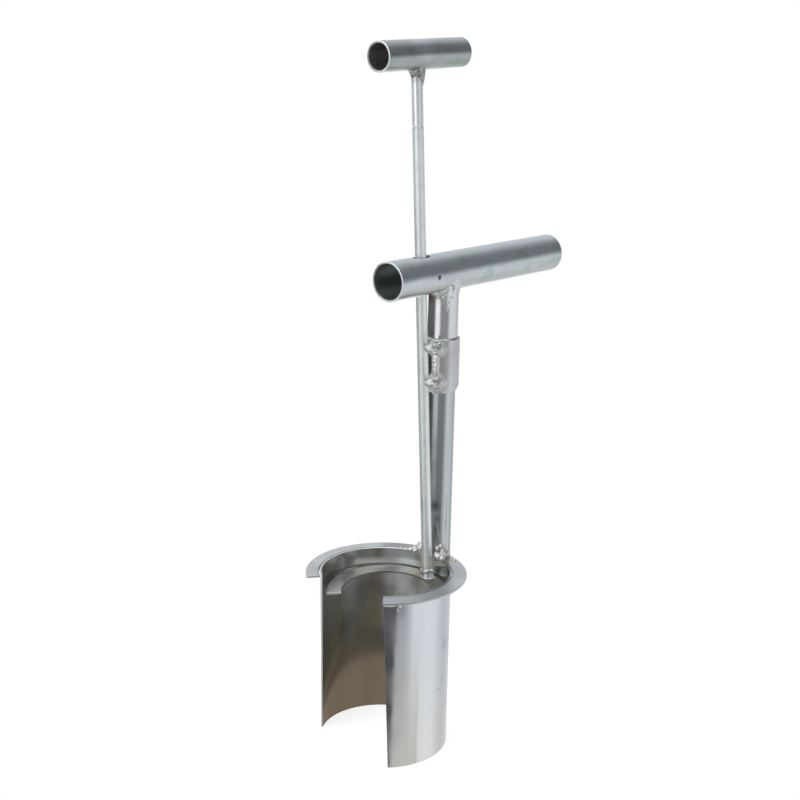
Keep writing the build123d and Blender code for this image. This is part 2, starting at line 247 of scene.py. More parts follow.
rodSteel = steelFinish(
    "ground_stainless_bar", ("#F3F7F5", "#EAF0ED"), (0.42, 0.49), upright, 0.9, silvered, 0.05,
    [((36, -6, 110), 5, 14, straw, 0.25), ((36, -6, 110), 4, 8, brown, 0.2),
     ((21, -1.4, 407.2), 0.3, 1.5, sootAndShade, 0.2, (0, 0, 1))])
stemSteel = steelFinish(
    "polished_stainless_bar", ("#F8F8F7", "#F0F0EF"), (0.28, 0.34), upright, 0.9, silvered, 0.03,
    # painted shade: the stem darker at its top, under the grip
    [((16, -1, 441), 3, 10, "#838482", 0.5)])
platedSteel = steelFinish("zinc_plated_steel", ("#CDCDCB", "#B8B8B6"), (0.34, 0.44), even, 1.0, greyed, 0.02)
weldSteel = weldFinish("stainless_weld_crust", ("#DCDCDB", "#A29C92", "#8C8E92"), 1.5, 0.12, (0.24, 0.40))
brightWeld = weldFinish("stainless_weld_smooth", ("#C4C6C6", "#B4B4B1", "#A5A7A8"), 1.8, 0.06, (0.30, 0.42))
pittedWeld = weldFinish("stainless_weld_pitted", ("#D4D7DA", "#929496", "#6E7276"), 1.6, 0.16, (0.24, 0.40))
# a darker copy of the weld finish, for the welds under the T grip and on the plate inside the tube
darkerWeld = weldFinish("stainless_weld_darker", ("#A6A9AA", "#7C7B79", "#666A6D"), 1.8, 0.10, (0.30, 0.44))
taperWeld = steelFinish("dressed_stainless_weld", ("#C4C9D0", "#B6BBC2"), (0.26, 0.34), even, 1.4, greyed,
                        0.2)
beadWeld = weldFinish("stainless_weld_bead", ("#E2E3DE", "#C8C5B9", "#B0B2B0"), 1.0, 0.09, (0.40, 0.52))
print("finishes ready")


def unit(v):
    v = np.asarray(v, float)
    return v / np.linalg.norm(v, axis=-1, keepdims=True)


# a piece's own axes: z along it, x the given side made square to z, y the third
def axesAt(origin, along, side):
    z = unit(along)
    x = unit(np.asarray(side, float) - np.dot(side, z) * z)
    return np.asarray(origin, float), stack([x, np.cross(z, x), z])


def placed(points, axes):
    return axes[0] + points @ axes[1]


# points at a radius and a turn about the z axis
def polar(radius, turn, z):
    return stack(np.broadcast_arrays(radius * cos(turn), radius * sin(turn), z), -1)


def turns(count):
    return arange(count) / count * 2 * pi


# value noise from -1 to 1: hashed numbers at the corners of a cube lattice, blended by 3t^2 - 2t^3
def grain(points, size, seed):
    p = np.asarray(points, float) / size + seed * 17.37
    cell = np.floor(p).astype(np.int64)
    t = p - cell
    t = t * t * (3 - 2 * t)
    total = np.zeros(p.shape[:-1])
    for corner in np.ndindex(2, 2, 2):
        c = cell + array(corner)
        h = (c[..., 0] * 73856093) ^ (c[..., 1] * 19349663) ^ (c[..., 2] * 83492791) ^ (seed * 40503)
        h = (((h & 0xFFFFFFFF) ^ ((h & 0xFFFFFFFF) >> 13)) * 1274126177) & 0xFFFFFFFF
        total += (((h >> 8) & 0xFFFF) / 32767.5 - 1) * np.prod(np.where(corner, t, 1 - t), axis=-1)
    return total


# quads of a grid of nu by nv points, joined round in u or in v where asked
def gridQuads(nu, nv, roundU, roundV):
    i, j = np.meshgrid(arange(nu if roundU else nu - 1), arange(nv if roundV else nv - 1), indexing="ij")
    iNext, jNext = (i + 1) % nu, (j + 1) % nv
    return stack([i * nv + j, iNext * nv + j, iNext * nv + jNext, i * nv + jNext], -1).reshape(-1, 4)


# faces of a band: its sides, and two flat ends on a loop whose points are level in pairs, i and n - 1 - i
def bandFaces(nu, n):
    i = arange(n // 2 - 1)
    end = stack([i, i + 1, n - 2 - i, n - 1 - i], -1)
    return concatenate([gridQuads(nu, n, False, True), end, end + (nu - 1) * n])


# faces of a bar: its round side and one flat face at each end
def barFaces(count, n):
    ends = [list(range(0, count * n, n)), list(range(n - 1, count * n, n))]
    return [*gridQuads(count, n, True, False), *ends]


# closed loop of a wall as (side, height): up one side with its edges rounded by quarter ovals (edge across,
# crown along), back down the other, each point level with its partner
edgePoints = 7
edgeClear = 1.5   # crowns from an end to the first row of a side


def wallLoop(outer, inner, low, high, edge, rows, crown=None):
    crown = crown or edge
    turn = linspace(0, pi / 2, edgePoints)
    clear = crown * edgeClear
    foot = stack([outer - edge + edge * sin(turn), low + crown - crown * cos(turn)], -1)
    side = stack([np.full(rows, outer), linspace(low + clear, high - clear, rows)], -1)
    head = stack([outer - edge + edge * cos(turn), high - crown + crown * sin(turn)], -1)
    up = concatenate([foot, side, head])
    return concatenate([up, stack([outer + inner - up[:, 0], up[:, 1]], -1)[::-1]])


# which finish each strip of a wall loop takes: 0 outside, 1 inside, 2 both ends
def wallZones(n):
    zone = np.zeros(n, np.int32)
    zone[n // 2:] = 1
    zone[:edgePoints - 1] = 2
    zone[n // 2 - edgePoints:n // 2 + edgePoints - 1] = 2
    zone[n - edgePoints:] = 2
    return zone


# stations along a band: within the edge radius e of an end, at distance d, the half thickness loses
# e - sqrt(e^2 - (e - d)^2)
endPoints = 6
endClear = 1.6   # edge radii from an end to the first even station


def bandStations(length, half, edge, count):
    d = np.append(edge * (1 - cos(linspace(0, pi / 2, endPoints))), edge * endClear)
    along = concatenate([d, linspace(0, length, count)[1:-1], length - d[::-1]])
    near = clip(edge - np.minimum(along, length - along), 0, edge)
    return along / length, 1 - (edge - sqrt(edge ** 2 - near ** 2)) / half


# a loop of (radius, height) carried once round the z axis
roundCount = 192


def lathe(loop, count=roundCount):
    return polar(loop[None, :, 0], turns(count)[:, None], loop[None, :, 1])


# a round tube along its axes, and the zones of its wall
def roundTube(v, axes):
    loop = wallLoop(v["radius"], v["bore"], v["from"], v["to"], v["edge"], v["rows"], v["crown"])
    points = lathe(loop)
    return placed(points, axes), gridQuads(*points.shape[:2], True, True), wallZones(len(loop))


# a new object in the scene
def newObject(name, data):
    made = bpy.data.objects.new(name, data)
    bpy.context.scene.collection.objects.link(made)
    return made


# points in mm and faces become a piece that rides a body, stands for a node and takes its finishes, by zone
# where there are several; cutters are closed meshes taken out of it
sameSpot = 2e-7


def putPiece(name, shape, finish, body, node, sharp=38, cutters=()):
    points, faces, *zones = shape
    mesh = bpy.data.meshes.new(name)
    mesh.from_pydata((points.reshape(-1, 3) * mm).tolist(), [], [list(map(int, face)) for face in faces])
    finishes = finish if isinstance(finish, list) else [finish]
    for one in finishes:
        mesh.materials.append(one)
    if len(finishes) > 1:
        zones = np.resize(zones[0], len(mesh.polygons)).astype(np.int32)
        mesh.polygons.foreach_set("material_index", zones)
    work = bmesh.new()
    work.from_mesh(mesh)
    bmesh.ops.remove_doubles(work, verts=work.verts, dist=sameSpot)
    bmesh.ops.recalc_face_normals(work, faces=work.faces)
    work.to_mesh(mesh)
    work.free()
    piece = newObject(name, mesh)
    for cutter in cutters:
        modifier = piece.modifiers.new("cut", "BOOLEAN")
        modifier.object, modifier.operation, modifier.solver = cutter, "DIFFERENCE", "EXACT"
    if cutters:
        bpy.context.view_layer.update()
        mesh = bpy.data.meshes.new_from_object(piece.evaluated_get(bpy.context.evaluated_depsgraph_get()))
        piece.modifiers.clear()
        piece.data = mesh
        for cutter in cutters:
            bpy.data.objects.remove(cutter)
    mesh.name = name
    mesh.polygons.foreach_set("use_smooth", np.ones(len(mesh.polygons), bool))
    mesh.set_sharp_from_angle(angle=radians(sharp))
    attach(piece, body)
    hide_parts(node)
    return piece


# a closed prism: the outline's points at both ends of an axis
def cutterPrism(name, outline, low, high, axes):
    n = len(outline)
    points = concatenate([np.c_[outline, np.full(n, low)], np.c_[outline, np.full(n, high)]])
    i = arange(n)
    sides = stack([i, (i + 1) % n, (i + 1) % n + n, i + n], -1).tolist()
    ends = [list(range(n))[::-1], list(range(n, 2 * n))]
    mesh = bpy.data.meshes.new(name)
    mesh.from_pydata((placed(points, axes) * mm).tolist(), [], sides + ends)
    return newObject(name, mesh)


# outline of a drilled hole
holePoints = 24


def drilled(radius):
    return polar(radius, turns(holePoints), 0)[:, :2]


standing = axesAt((0, 0, 0), (0, 0, 1), (1, 0, 0))

# cutting tube: a wall carried from the left slit edge round the back to the right one. Each edge is
# straight: its direction goes evenly from the one at the bottom to the one at the top. Slow noise moves the
# wall in and out, and the left edge bends in by the square of the nearness to it, most at half height
tube = {"outer": 43.65, "inner": 42.45, "height": 120.0, "edge": 0.28, "leftBottom": 119.5, "leftTop": 145.0,
        "rightBottom": 227.0 - 360, "rightTop": 220.5 - 360, "arc": 4.5, "around": 181, "rows": 31,
        "wave": 0.10, "waveSize": 42.0, "waveSquash": (1, 1, 0.5), "seed": 3, "bend": 1.4, "bendWide": 0.14,
        "bendEnds": 0.3}


def slitEdge(z, bottom, top):
    bottom, top = radians([bottom, top])
    t = clip(z / tube["height"], 0, 1)
    return np.arctan2(sin(bottom) + (sin(top) - sin(bottom)) * t,
                      cos(bottom) + (cos(top) - cos(bottom)) * t)


def cuttingTube(v):
    loop = wallLoop(v["outer"], v["inner"], 0, v["height"], v["edge"], v["rows"])
    middle, half = (v["outer"] + v["inner"]) / 2, (v["outer"] - v["inner"]) / 2
    share, keep = bandStations(v["arc"] * middle, half, v["edge"], v["around"])
    left, right = (slitEdge(loop[:, 1], v[side + "Bottom"], v[side + "Top"]) for side in ("left", "right"))
    turn = left[None, :] + share[:, None] * (right - left)[None, :]
    z = loop[None, :, 1]
    wave = v["wave"] * grain(polar(middle, turn, z) * v["waveSquash"], v["waveSize"], v["seed"])
    near = clip(1 - share / v["bendWide"], 0, 1)[:, None] ** 2
    bend = v["bend"] * near * (v["bendEnds"] + (1 - v["bendEnds"]) * sin(pi * z / v["height"]))
    reach = middle + np.outer(keep, loop[:, 0] - middle) + wave - bend
    sides = tile(np.minimum(wallZones(len(loop)), 1), len(share) - 1)
    zones = concatenate([sides, np.zeros(len(loop) - 2)])
    return polar(reach, turn, z), bandFaces(*turn.shape), zones


putPiece("cuttingTube", cuttingTube(tube), [tubeSteel, boreSteel], "frame", "cutting_tube")

# flange: a flat band from the tube's wall out to a circle set a little off centre, open at the slit
flange = {"inner": 43.88, "outer": 53.15, "centreY": -0.9, "low": 118.5, "high": 120.0, "edge": 0.3,
          "left": 145.0, "right": -139.5, "width": 9.3, "length": 4.6 * 48, "around": 181, "rows": 5,
          "wave": 0.06, "waveSize": 24, "seed": 5}


def flangeRing(v):
    half, middle = (v["high"] - v["low"]) / 2, (v["high"] + v["low"]) / 2
    crown = v["edge"] / v["width"]   # the loop runs along the width as a share of it
    loop = wallLoop(half, -half, 0, 1, v["edge"], v["rows"], crown)
    share, keep = bandStations(v["length"], half, v["edge"], v["around"])
    turn = radians(v["left"] + share * (v["right"] - v["left"]))[:, None]
    outer = v["centreY"] * sin(turn) + sqrt(v["outer"] ** 2 - (v["centreY"] * cos(turn)) ** 2)
    reach = v["inner"] + (outer - v["inner"]) * loop[None, :, 1]
    wave = v["wave"] * grain(polar(reach, turn, 0), v["waveSize"], v["seed"])
    return polar(reach, turn, middle + np.outer(keep, loop[:, 0]) + wave), bandFaces(*reach.shape)


putPiece("flangeRing", flangeRing(flange), flangeSteel, "frame", "flange_ring")

# ejector plate: a flat band in its own leaning plane, from one gap end to the other
plate = {"centre": (0.9, -1.3, 106.1), "normal": (-0.046, -0.029, 1), "side": (1, 0, 0.046), "inner": 30.62,
         "outer": 40.42, "thickness": 1.5, "edge": 0.3, "from": 138.5, "to": 224.0 - 360,
         "length": 4.8 * 35.5, "around": 161, "rows": 5}


def ejectorPlate(v):
    half = v["thickness"] / 2
    loop = wallLoop(half, -half, v["inner"], v["outer"], v["edge"], v["rows"])
    share, keep = bandStations(v["length"], half, v["edge"], v["around"])
    turn = radians(v["from"] + share * (v["to"] - v["from"]))[:, None]
    points = polar(loop[None, :, 1], turn, np.outer(keep, loop[:, 0]) - half)
    return placed(points, axesAt(v["centre"], v["normal"], v["side"])), bandFaces(*points.shape[:2])


putPiece("ejectorPlate", ejectorPlate(plate), plateSteel, "plunger", "ejector_plate")
print("tube, flange and plate made")

# posts: round tubes on one axis. The upper post's top follows the handle it meets: handle axis height at x,
# less the root of handle radius squared less y squared
postAt = (49.0, -2.9)
lower = {"radius": 9.5, "bore": 8.3, "from": 120.0, "to": 241.5, "edge": 0.25, "rows": 9, "crown": 0.25}
upper = {"radius": 10.0, "bore": 8.8, "foot": 241.9, "intoGrip": 0.7, "edge": 0.25, "rows": 9, "crown": 0.004}
grip = {"radius": 12.7, "bore": 11.5, "axisZ": 314.7, "rise": 0.9, "from": -55.0, "to": 114.8, "edge": 0.58,
        "rows": 69, "crown": 0.32}
postAxes = axesAt((*postAt, 0), (0, 0, 1), (1, 0, 0))
rise = radians(grip["rise"])


def underGrip(x, y):
    return grip["axisZ"] + x * np.tan(rise) - sqrt(grip["radius"] ** 2 - y ** 2)


def upperPost(v):
    points = lathe(wallLoop(v["radius"], v["bore"], 0, 1, v["edge"], v["rows"], v["crown"]))
    top = underGrip(points[..., 0], points[..., 1]) + v["intoGrip"]
    points[..., 2] = v["foot"] + (top - v["foot"]) * points[..., 2]
    return placed(points, postAxes), gridQuads(*points.shape[:2], True, True)


putPiece("lowerPost", roundTube(lower, postAxes), postSteel, "frame", "lower_post")
putPiece("upperPost", upperPost(upper), polishedPost, "frame", "upper_post")

# main handle: a round tube with a rounded slot for the rod through both sides and a vent hole
handleSlot = {"left": 15.87, "right": 31.8, "front": -7.17, "back": 2.92, "corner": 3.6, "cornerPoints": 9,
              "low": 290, "high": 340}
vent = {"start": (29.1, -17, 314.4), "radius": 1.2, "from": -2, "to": 9}
gripAxes = axesAt((*postAt, grip["axisZ"]), (cos(rise), 0, sin(rise)), (0, 1, 0))


# outline of the slot: quarter circles of the corner radius about the four inner corners
def slotOutline(s):
    r = s["corner"]
    corners = [(s["right"] - r, s["back"] - r), (s["left"] + r, s["back"] - r),
               (s["left"] + r, s["front"] + r), (s["right"] - r, s["front"] + r)]
    turn = linspace(0, pi / 2, s["cornerPoints"])
    return concatenate([polar(r, turn + k * pi / 2, 0)[:, :2] + corner for k, corner in enumerate(corners)])


ventAxes = axesAt(vent["start"], (0, 1, 0), (1, 0, 0))
rodSlot = cutterPrism("rodSlot", slotOutline(handleSlot), handleSlot["low"], handleSlot["high"], standing)
ventHole = cutterPrism("ventHole", drilled(vent["radius"]), vent["from"], vent["to"], ventAxes)
putPiece("mainHandle", roundTube(grip, gripAxes), [gripSteel, gripBore, sawnEnd], "frame", "main_handle",
         cutters=[rodSlot, ventHole])
print("posts and main handle made")

# rod and stem: round bars on one leaning line, each end of the joint lightly chamfered. Heights run along
# the line from where it crosses the main handle's axis, and noise bends the bars a little
rod = {"crossing": (25.7, -2.9, 314.334), "lean": (-0.0503, 0.0156, 1), "radius": 3.6, "foot": -207.8,
       "joint": 93.6, "jointGap": 0.04, "chamfer": 0.4, "endChamfer": 0.1, "gripAt": 136.4, "stemTop": 128.0,
       "around": 96, "rows": 40, "stemRows": 12, "bend": 0.05, "bendSize": 37, "bendWay": (1, 0.6, 0),
       "seed": 8}
tGrip = {"radius": 9.25, "bore": 8.05, "from": -34.3, "to": 42.5, "edge": 0.58, "crown": 0.32, "rows": 31}
rodAxes = axesAt(rod["crossing"], rod["lean"], (1, 0, 0))
tAxes = axesAt(rodAxes[0] + rod["gripAt"] * rodAxes[1][2], rodAxes[1][0], (0, 1, 0))


def roundBar(v, low, high, chamferLow, chamferHigh, rows):
    z = concatenate([[low, low + chamferLow], linspace(low, high, rows)[1:-1], [high - chamferHigh, high]])
    r = np.full(len(z), v["radius"])
    r[0] -= chamferLow
    r[-1] -= chamferHigh
    points = lathe(stack([r, z], -1), v["around"])
    bend = v["bend"] * grain(points * (0, 0, 1), v["bendSize"], v["seed"])[..., None] * array(v["bendWay"])
    return placed(points + bend, rodAxes), barFaces(*points.shape[:2])


v = rod
bar = roundBar(v, v["foot"], v["joint"] - v["jointGap"], v["endChamfer"], v["chamfer"], v["rows"])
rodPiece = putPiece("ejectorRod", bar, rodSteel, "plunger", "ejector_rod", sharp=25)
rodPiece.visible_glossy = False   # else its mirror image in the posts hides the softbox's
bar = roundBar(v, v["joint"] + v["jointGap"], v["stemTop"], v["chamfer"], v["endChamfer"], v["stemRows"])
putPiece("tHandleStem", bar, stemSteel, "plunger", "t_handle_stem", sharp=25)
putPiece("tHandle", roundTube(tGrip, tAxes), [smallGripSteel, smallBore, sawnEnd], "plunger", "t_handle")
print("plunger rod and grip made")

# coupling sleeve, drilled for the clamp screws, and the screws: a threaded shank under a slotted head. The
# thread's radius is a triangle wave of height less turn, and the head's dome is a quarter oval
clamps = {"upper": {"z": 263.545, "azimuth": 201.0, "slotTilt": -25.0},
          "lower": {"z": 240.845, "azimuth": 203.3, "slotTilt": -4.0}}
screw = {"rise": 11.0, "radius": 2.0, "pitch": 0.7, "depth": 0.32, "fade": 0.5, "from": 10.95,
         "underHead": 25.1, "tip": 27.9, "headR": 3.2, "headEdge": 0.25, "headGap": 0.02, "dome": 1.4,
         "domePoints": 14, "slotWide": 1.1, "slotDeep": 1.0, "slotReach": 5, "slotOver": 1, "around": 64,
         "rows": 190}
nut = {"across": 6.4, "hole": 2.06, "from": 10.6, "to": 15.2, "corner": 1.16, "chamfer": 0.45,
       "chamferIn": 0.5, "fineFrom": 0.8, "fineRows": 9, "around": 120}
sleeve = {"radius": 11.6, "bore": 10.2, "from": 239.0, "to": 271.8, "edge": 0.6, "rows": 5, "crown": 0.9,
          "drillIn": 1.5, "drillOut": 2.5}


def clampAxes(c):
    a, r = radians([c["azimuth"], screw["rise"]])
    along = (cos(a) * cos(r), sin(a) * cos(r), sin(r))
    return axesAt((*postAt, c["z"]), along, (-sin(a), cos(a), 0))


def clampScrew(s, axes):
    z = linspace(s["from"], s["underHead"], s["rows"])
    turn = turns(s["around"])[:, None]
    wave = np.abs(((z[None, :] / s["pitch"] - turn / (2 * pi)) % 1) * 2 - 1)
    fade = clip((s["underHead"] - z) / s["fade"], 0, 1) * clip((z - s["from"]) / s["fade"], 0, 1)
    shank = s["radius"] - s["depth"] * (1 - wave) * fade[None, :]
    bend = linspace(0, pi / 2, s["domePoints"])[:-1]
    rim = [s["headR"] - s["headEdge"], s["headR"]]
    headR = concatenate([rim, s["headR"] * cos(bend)])
    rimZ = [s["underHead"] + s["headGap"], s["underHead"] + s["headEdge"]]
    headZ = concatenate([rimZ, s["tip"] - s["dome"] + s["dome"] * sin(bend)])
    radius = concatenate([shank, tile(headR, (s["around"], 1))], 1)
    points = polar(radius, turn, concatenate([z, headZ])[None, :])
    return placed(points, axes), barFaces(*radius.shape)


def screwSlot(name, s, tilt, axes):
    run = array([cos(tilt), sin(tilt)]) * s["slotReach"]
    wide = array([-sin(tilt), cos(tilt)]) * s["slotWide"] / 2
    outline = array([-run - wide, run - wide, run + wide, -run + wide])
    return cutterPrism(name, outline, s["tip"] - s["slotDeep"], s["tip"] + s["slotOver"], axes)


# hex nut: at each angle the smaller of the flat's distance (half across / cos of the angle from its middle)
# and a chamfer cone
def clampNut(n, axes):
    turn = turns(n["around"])[:, None]
    flat = n["across"] / 2 / cos((turn + pi / 6) % (pi / 3) - pi / 6)
    z = concatenate([[n["from"]], linspace(n["to"] - n["fineFrom"], n["to"], n["fineRows"])])
    cut = clip((z - n["to"] + n["chamfer"]) / n["chamfer"], 0, 1) * n["chamferIn"]
    outer = np.minimum(flat, n["across"] / 2 * n["corner"] - cut[None, :])
    radius = concatenate([outer, np.full_like(outer, n["hole"])], 1)
    points = polar(radius, turn, concatenate([z, z[::-1]])[None, :])
    return placed(points, axes), gridQuads(*radius.shape, True, True)


inside, outside = sleeve["bore"] - sleeve["drillIn"], sleeve["radius"] + sleeve["drillOut"]
drills = [cutterPrism(side + "Drill", drilled(nut["hole"]), inside, outside, clampAxes(c))
          for side, c in clamps.items()]
putPiece("couplingSleeve", roundTube(sleeve, postAxes), sleeveSteel, "frame", "coupling_sleeve",
         cutters=drills)
for side, c in clamps.items():
    axes = clampAxes(c)
    slot = screwSlot(side + "Slot", screw, radians(c["slotTilt"]), axes)
    putPiece(side + "ClampScrew", clampScrew(screw, axes), platedSteel, side + "_screw",
             side + "_clamp_screw", sharp=40, cutters=[slot])
    putPiece(side + "ClampNut", clampNut(nut, axes), platedSteel, "frame", side + "_clamp_nut")
print("sleeve, clamp screws and nuts made")


# lumps of weld: noise at the given size, and some of it again at a little under half that size
finerSize = 0.45


def lumpy(points, v, second):
    return grain(points, v["size"], v["seed"]) + second * grain(points, v["size"] * finerSize, v["seed"] + 1)


def swell(points, v):
    return (1 + v["lump"] * lumpy(points, v, second=0.55))[..., None]


# a fillet round a bar: a curve from the bar's side to its seat, carried round the axis and closed inside the
# metal. It goes out by leg * share and down by drop * (1 - share), hollow at belly 0, straight at 1, full at
# 2; each of these is a base and gains towards named sides, and a side is (middle angle, half-width). Noise of
# lump mm and ripples (count, mm) move it, most in its middle. Pits are (angle, share of curve, radius, depth)
filletForm = {"rows": 29, "second": 0.5, "endMove": 0.2, "slant": 0.7, "bite": 0.6, "lip": 0.1, "sunk": 0.5}
ringTurn = turns(roundCount)[:, None]


# 1 at the middle angle, falling smoothly to 0 at the given half-width away
def towards(middle, half):
    off = np.abs((np.degrees(ringTurn) - middle + 180) % 360 - 180)
    near = clip(1 - off / half, 0, 1)
    return near ** 2 * (3 - 2 * near)


def varied(v, key):
    base, gains = v[key]
    return base + sum(gain * towards(*v["sides"][side]) for side, gain in gains.items())


def fillet(v, axes, radius, seat):
    f = filletForm
    leg, drop, belly = (varied(v, key) for key in ("leg", "drop", "belly"))
    t = linspace(0, 1, f["rows"])[None, :]
    hollow, hollowDown = 1 - cos(t * pi / 2), 1 - sin(t * pi / 2)
    reach = radius + leg * (hollow + belly * (t - hollow))
    height = seat(reach, ringTurn) - drop * (hollowDown + belly * (1 - t - hollowDown))
    ripples, rippleTall = v["ripples"]
    move = v["lump"] * lumpy(polar(reach, ringTurn, height), v, f["second"])
    move = move + rippleTall * cos(ripples * ringTurn + 2 * pi * t)
    length = np.hypot(leg, drop)
    for angle, share, wide, deep in v.get("pits", ()):
        off = (ringTurn - radians(angle) + pi) % (2 * pi) - pi
        move = move - deep * np.exp(-((off * reach) ** 2 + ((t - share) * length) ** 2) / wide ** 2)
    move = f["slant"] * move * (f["endMove"] + (1 - f["endMove"]) * sin(pi * t))
    way = np.sign(np.mean(drop))
    reach, height = reach + move, height - way * move
    inner = np.full_like(ringTurn, radius - f["bite"])
    last = reach[:, -1:]
    reach = concatenate([reach, last - f["lip"], inner, inner], 1)
    under = [seat(edge, ringTurn) + f["sunk"] * way for edge in (last, inner)]
    height = concatenate([height, *under, height[:, :1]], 1)
    return placed(polar(reach, ringTurn, height), axes), gridQuads(*reach.shape, True, True)


# rounded lumps in one mesh: ovals, each three numbers of its centre and three half sizes, swelling with noise
def weldLumps(v, lumps, around=40, over=26):
    lift = linspace(-pi / 2, pi / 2, over)[None, :]
    oval = polar(cos(lift), turns(around)[:, None], sin(lift))
    centres, halves = np.split(array(lumps)[:, None, None], 2, axis=-1)
    points = centres + halves * oval * swell(centres + halves * oval, v)
    offsets = arange(len(lumps))[:, None, None] * around * over
    return points, (gridQuads(around, over, True, False)[None] + offsets).reshape(-1, 4)


def joined(*parts):
    starts = np.cumsum([0] + [part.size // 3 for part, quads in parts])
    points = concatenate([part.reshape(-1, 3) for part, quads in parts])
    return points, concatenate([quads + start for (part, quads), start in zip(parts, starts)])


# a bead along a line: round section shrinking to a point at both ends, side and lift across the line
beadForm = {"around": 28, "blunt": 5, "rippleTall": 0.10}


def weldBead(v, line, side, lift):
    b = beadForm
    t = linspace(0, 1, len(line))
    taper = sqrt(clip(1 - np.abs(2 * t - 1) ** b["blunt"], 0, 1))
    taper = taper * (1 + b["rippleTall"] * sin(2 * pi * v["ripples"] * t))
    section = turns(b["around"])[None, :, None]
    shape = v["wide"] * cos(section) * side[:, None] + v["tall"] * sin(section) * lift[:, None]
    shape = shape * taper[:, None, None]
    points = line[:, None] + shape * swell(line[:, None] + shape, v)
    return points, gridQuads(len(line), b["around"], False, True)


# a bead along an arc round the tube's axis
def arcBead(v, start):
    out = polar(1, radians(linspace(start, start + v["span"], v["rows"])), 0)
    return weldBead(v, out * v["radius"] + (0, 0, v["z"]), out, tile([0, 0, 1.0], (v["rows"], 1)))


def putWeld(name, shape, finish, body, node):
    putPiece(name, shape, finish, body, node, sharp=80)


# handle weld: flows down the post at the front and right, thin at the left, with a few dents and one run
handleWeld = {"sides": {"front": (250, 95), "run": (232, 20)}, "leg": (0.9, {"front": 1.5}),
              "drop": (1.8, {"front": 6.6, "run": 7.0}), "belly": (0.35, {}), "lump": 0.35, "size": 3.2,
              "seed": 11, "ripples": (26, 0.06),
              "pits": [(226, 0.80, 0.8, 1.4), (251, 0.72, 0.9, 1.8), (258, 0.52, 0.8, 1.6),
                       (207, 0.6, 0.8, 1.4), (215, 0.45, 1.0, 1.0), (285, 0.6, 0.7, 0.7),
                       (20, 0.5, 0.9, 0.9), (100, 0.4, 0.8, 0.8)]}


def handleSeat(r, a):
    return underGrip(r * cos(a), r * sin(a))


shape = fillet(handleWeld, postAxes, upper["radius"], handleSeat)
putWeld("handleWeld", shape, pittedWeld, "frame", "handle_weld")

# stem weld: a smooth flare under the grip, wide and hollow at the left, long and full at the right
stemWeld = {"sides": {"left": (131, 100), "right": (311, 100)}, "leg": (2.0, {"left": 2.5}),
            "drop": (3.6, {"left": 1.0, "right": 7.0}), "belly": (0.15, {"right": 0.95}), "lump": 0.2,
            "size": 3.0, "seed": 21, "ripples": (14, 0.05),
            "pits": [(236, 0.75, 0.7, 0.8), (250, 0.5, 0.6, 0.6), (60, 0.5, 0.7, 0.6)]}


def gripSeat(r, a):
    return rod["gripAt"] - sqrt(tGrip["radius"] ** 2 - (r * sin(a)) ** 2)


shape = fillet(stemWeld, rodAxes, rod["radius"], gripSeat)
putWeld("stemWeld", shape, darkerWeld, "plunger", "stem_weld")

# rod weld: a hollow skirt on the plate, kept clear of the tube's wall, with a crown of lumps. The plate
# leans to the rod, so its seat is the height along the rod at which the plate's top is met. Each lump of the
# crown is (angle, height over the seat, half size)
rodWeld = {"sides": {"right": (290, 120), "wall": (350, 60)}, "leg": (1.6, {"right": 1.2, "wall": -0.6}),
           "drop": (-4.2, {"right": -1.2}), "belly": (0.2, {}), "lump": 0.22, "size": 2.6, "seed": 31,
           "ripples": (12, 0.05)}
crown = {"radius": 3.5, "flat": 0.85, "lump": 0.25, "size": 2.0, "seed": 33,
         "lumps": [(205, 4.6, 1.5), (232, 5.2, 1.7), (262, 4.9, 1.6), (290, 4.2, 1.3), (110, 4.0, 1.4),
                   (40, 4.2, 1.4)]}
plateNormal = unit(plate["normal"])
leanings = rodAxes[1] @ plateNormal
plateGap = (array(plate["centre"]) - rodAxes[0]) @ plateNormal


def plateSeat(r, a):
    return (plateGap - r * cos(a) * leanings[0] - r * sin(a) * leanings[1]) / leanings[2]


def rodCrown(v):
    angle, up, half = array(v["lumps"]).T
    turn = radians(angle)
    centres = placed(polar(v["radius"], turn, plateSeat(v["radius"], turn) + up), rodAxes)
    return weldLumps(v, np.c_[centres, half, half, half * v["flat"]])


skirt = fillet(rodWeld, rodAxes, rod["radius"], plateSeat)
lumps = rodCrown(crown)
zones = np.repeat([0, 1], [len(skirt[1]), len(lumps[1])])
putWeld("rodWeld", (*joined(skirt, lumps), zones), [darkerWeld, weldSteel], "plunger", "rod_weld")

# sleeve weld: a smooth taper from the sleeve's lower edge to the post
sleeveWeld = {"leg": (2.0, {}), "drop": (4.7, {}), "belly": (1.25, {}), "lump": 0.10, "size": 4.5,
              "seed": 41, "ripples": (0, 0), "above": 0.9}


def sleeveSeat(r, a):
    return sleeve["from"] + sleeveWeld["above"] + 0 * r * a


shape = fillet(sleeveWeld, postAxes, lower["radius"], sleeveSeat)
putWeld("sleeveWeld", shape, taperWeld, "frame", "sleeve_weld")

# nut welds: smooth mounds from the nuts' sides to the sleeve. At (x, y) across the screw's axis the
# sleeve's side is met at (root of its radius squared less x squared, plus y sin rise) / cos rise; each
# mound is cut short at the sleeve's end
nutWeld = {"radius": 3.2, "sides": {"upper": (90, 70), "lower": (270, 70)}, "drop": (-2.2, {}),
           "belly": (0.45, {}), "lump": 0.10, "size": 3.4, "ripples": (7, 0.04)}
nutWeldEnds = {"upper": {"leg": (3.8, {"upper": -2.2}), "seed": 51},
               "lower": {"leg": (3.8, {"lower": -2.2}), "seed": 58}}


def sleeveSide(r, a):
    tilt = radians(screw["rise"])
    side = sqrt(sleeve["radius"] ** 2 - (r * cos(a)) ** 2)
    return (side + r * sin(a) * sin(tilt)) / cos(tilt)


